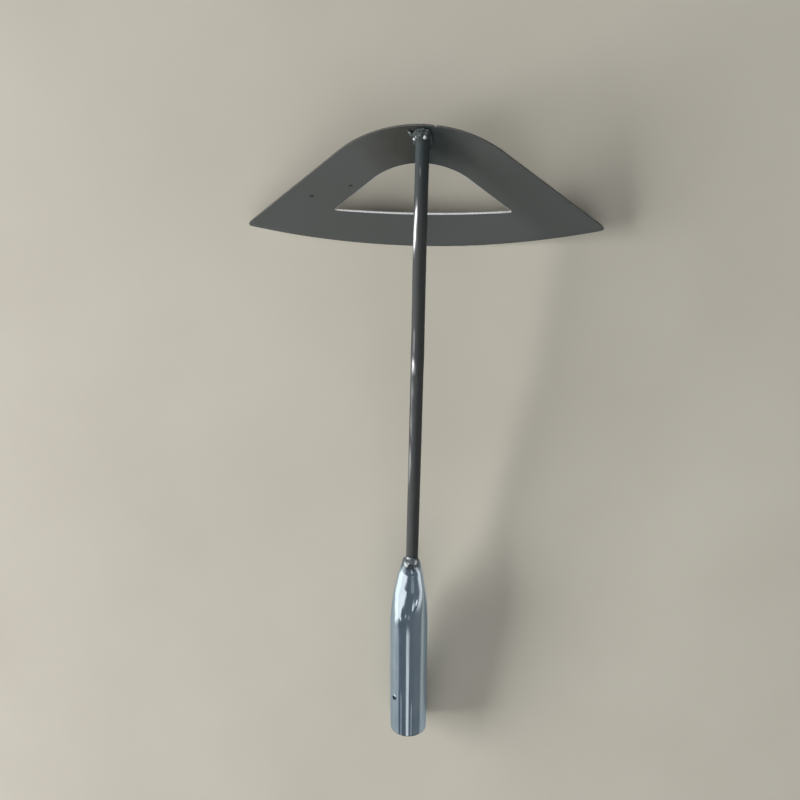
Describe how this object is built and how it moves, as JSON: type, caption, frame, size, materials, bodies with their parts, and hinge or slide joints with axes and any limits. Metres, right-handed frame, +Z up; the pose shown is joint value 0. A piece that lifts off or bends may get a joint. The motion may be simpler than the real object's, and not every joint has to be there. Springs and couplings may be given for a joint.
{
  "type": "hollow weeding hoe head",
  "caption": "Steel hoe head: a flat crescent blade with a triangular window, a bent round neck rod and a tube socket for a wooden handle.",
  "frame": {"origin": "on the floor that the head lies on, below the middle of its bounding box", "axes": "+Y from the socket to the blade, +Z up from the floor, +X across the blade"},
  "size_m": [0.2766, 0.5165, 0.0626],
  "materials": {
    "blade_steel": "dark semi-gloss",
    "rod_steel": "dark gloss",
    "socket_chrome": "bright plated",
    "weld_steel": "as welded, plated over",
    "weld_chrome": "as welded, plated over"
  },
  "bodies": {
    "root": {"blade": "blade_steel", "neck_rod": "rod_steel", "handle_socket": "socket_chrome", "blade_weld": "weld_steel", "collar_weld": "weld_chrome"}
  },
  "joints": []
}
